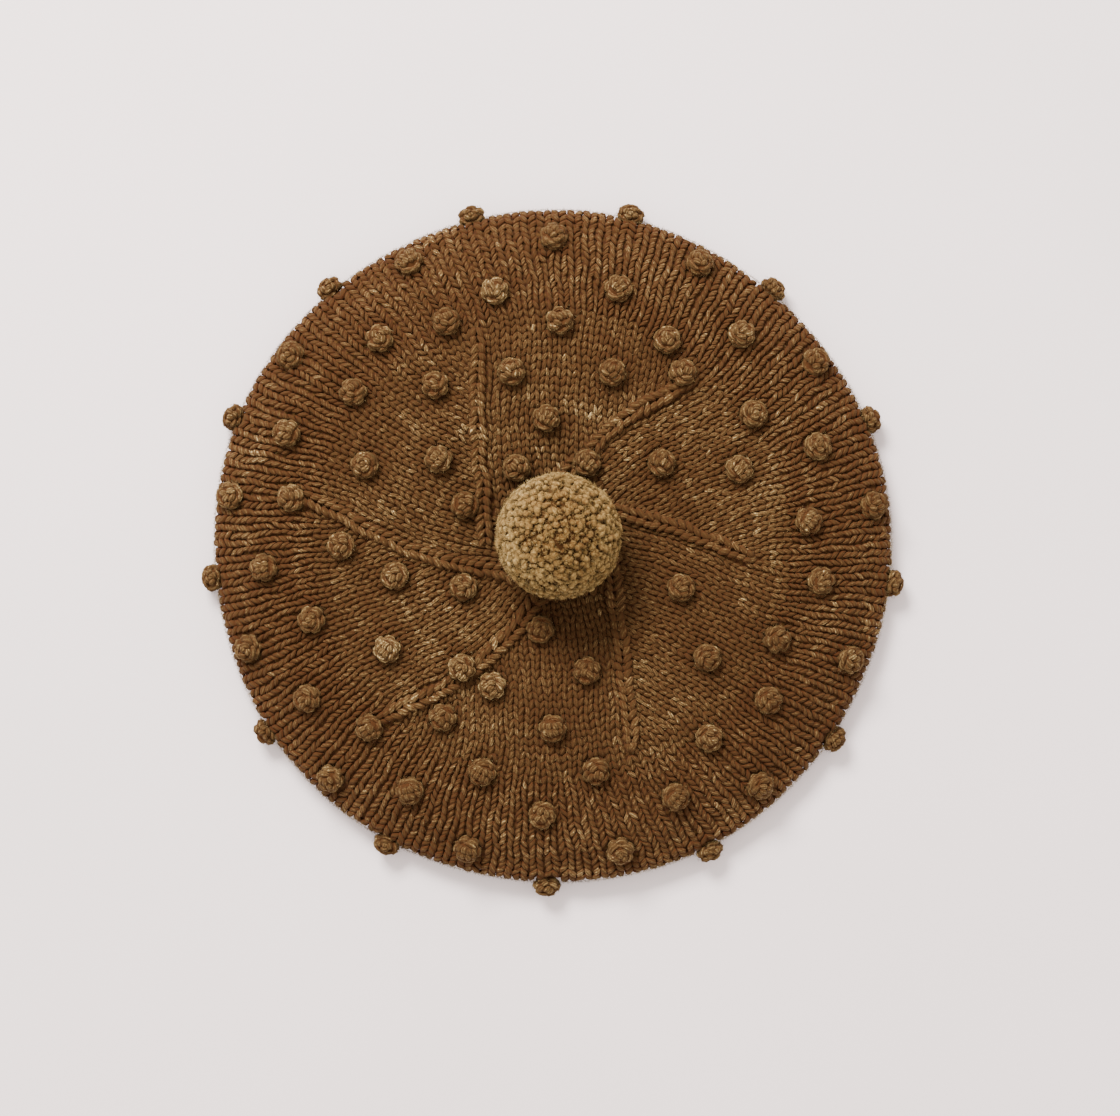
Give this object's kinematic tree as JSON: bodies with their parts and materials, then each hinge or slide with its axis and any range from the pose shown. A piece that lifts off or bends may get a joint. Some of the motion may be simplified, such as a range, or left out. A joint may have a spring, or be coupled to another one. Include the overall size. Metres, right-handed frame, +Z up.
{
  "type": "knit beret with pompom",
  "caption": "Round knit beret lying flat, with a crown in swirling sections, knitted bobbles, a turned edge, a ribbed band round the open underside and a trimmed wool pompom.",
  "frame": {"origin": "on the surface that the beret lies on, under the middle of its disc", "axes": "+Z up out of the crown, +Y towards the top of the picture, +X to its right"},
  "size_m": [0.2824, 0.2782, 0.0618],
  "materials": {
    "crown_wool": "matt hand-dyed wool in stocking stitch",
    "rib_wool": "matt hand-dyed wool in ribbing",
    "pompom_wool": "trimmed wool yarn ends"
  },
  "bodies": {
    "root": {"crown": "crown_wool", "rib_band": "rib_wool", "pompom": "pompom_wool"}
  },
  "joints": []
}
